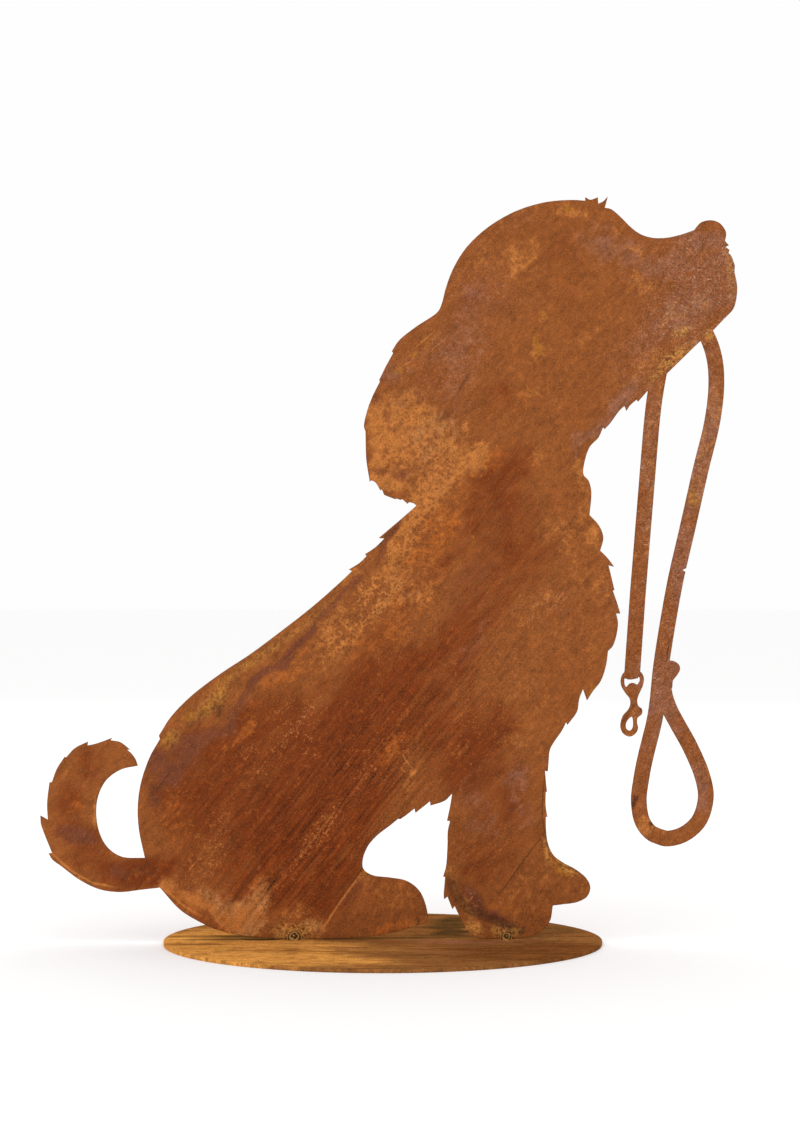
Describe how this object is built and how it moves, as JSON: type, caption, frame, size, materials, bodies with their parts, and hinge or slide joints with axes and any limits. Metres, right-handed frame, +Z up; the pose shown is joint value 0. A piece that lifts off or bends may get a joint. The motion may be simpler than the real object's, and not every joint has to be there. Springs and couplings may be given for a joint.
{
  "type": "sheet-metal dog silhouette sculpture",
  "caption": "Rusted steel garden figure: a sitting shaggy dog cut from flat sheet with its lead in its mouth, welded upright on a round base plate.",
  "frame": {"origin": "centre of the round base's underside", "axes": "+X towards the dog's nose, +Y away from the viewer, square to the sheet, and +Z up"},
  "size_m": [0.5606, 0.352, 0.6003],
  "materials": {
    "sheet_rust": "flat steel sheet with a dry, mottled orange-brown rust patina, streaked in the rolling direction",
    "base_rust": "flat steel plate with a smoother ochre-brown rust patina, streaked, darker at the rim",
    "weld_bead": "small rippled weld bead, dark brown with a pale rusty halo"
  },
  "bodies": {
    "root": {"base_disc": "base_rust", "dog_silhouette": "sheet_rust", "hind_weld": "weld_bead", "fore_weld": "weld_bead"}
  },
  "joints": []
}
